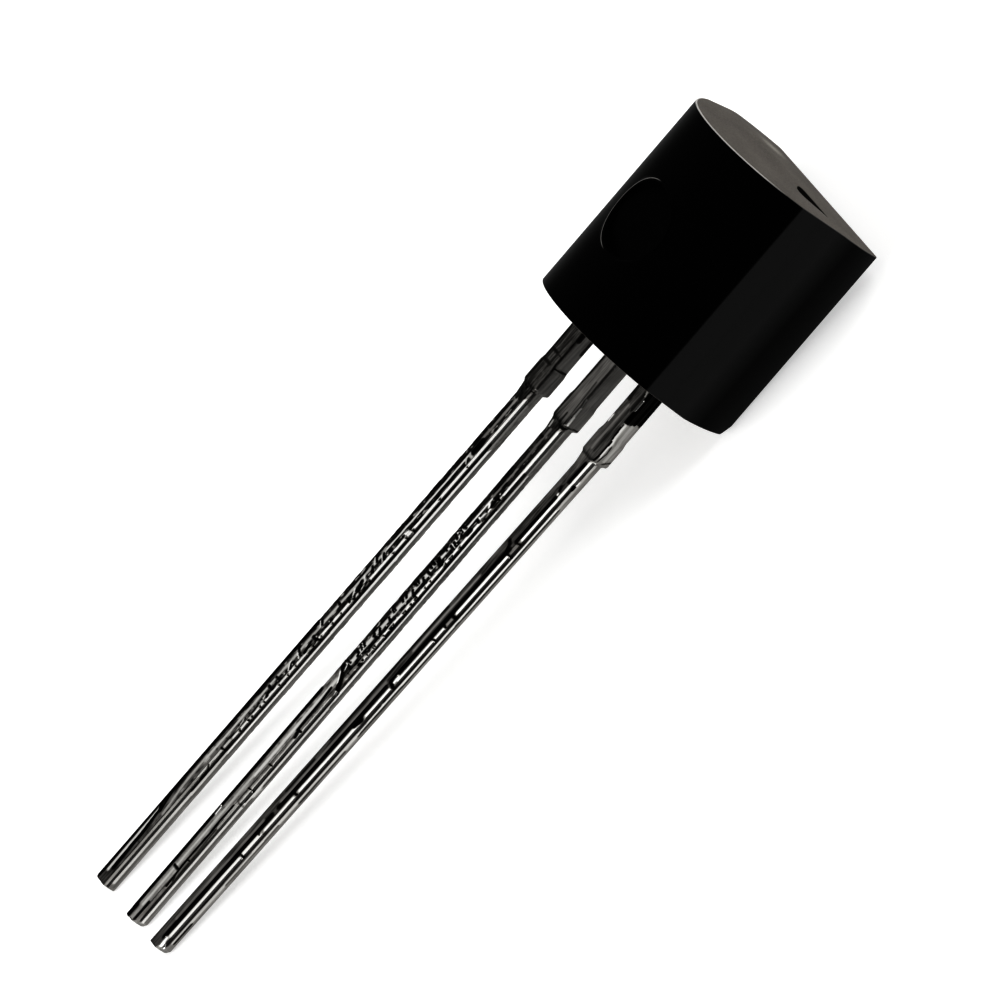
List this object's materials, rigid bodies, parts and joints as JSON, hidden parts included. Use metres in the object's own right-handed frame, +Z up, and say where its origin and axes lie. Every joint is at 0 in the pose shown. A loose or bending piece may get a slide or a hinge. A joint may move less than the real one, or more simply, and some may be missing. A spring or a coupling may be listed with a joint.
{
  "type": "to-92 transistor",
  "caption": "Small-signal transistor in a moulded D-section TO-92 body, with a row of straight tin-plated leads, lying on its flat.",
  "frame": {"origin": "on the floor, under the middle of the whole part's bounding box", "axes": "+X runs along the leads, from their tips towards the body's end face; +Y runs along the row of leads, from the emitter lead to the base lead; +Z points up from the floor, out of the round side"},
  "size_m": [0.0188, 0.0046, 0.0037],
  "materials": {
    "moulding": "satin",
    "lead_strip": "satin",
    "silicon": "polished",
    "bond_layer": "matte",
    "bond_wire": "polished"
  },
  "bodies": {
    "root": {"body": "moulding", "base_lead": "lead_strip", "collector_lead": "lead_strip", "emitter_lead": "lead_strip", "die": "silicon", "die_attach": "bond_layer", "base_bond_wire": "bond_wire", "emitter_bond_wire": "bond_wire"}
  },
  "joints": []
}
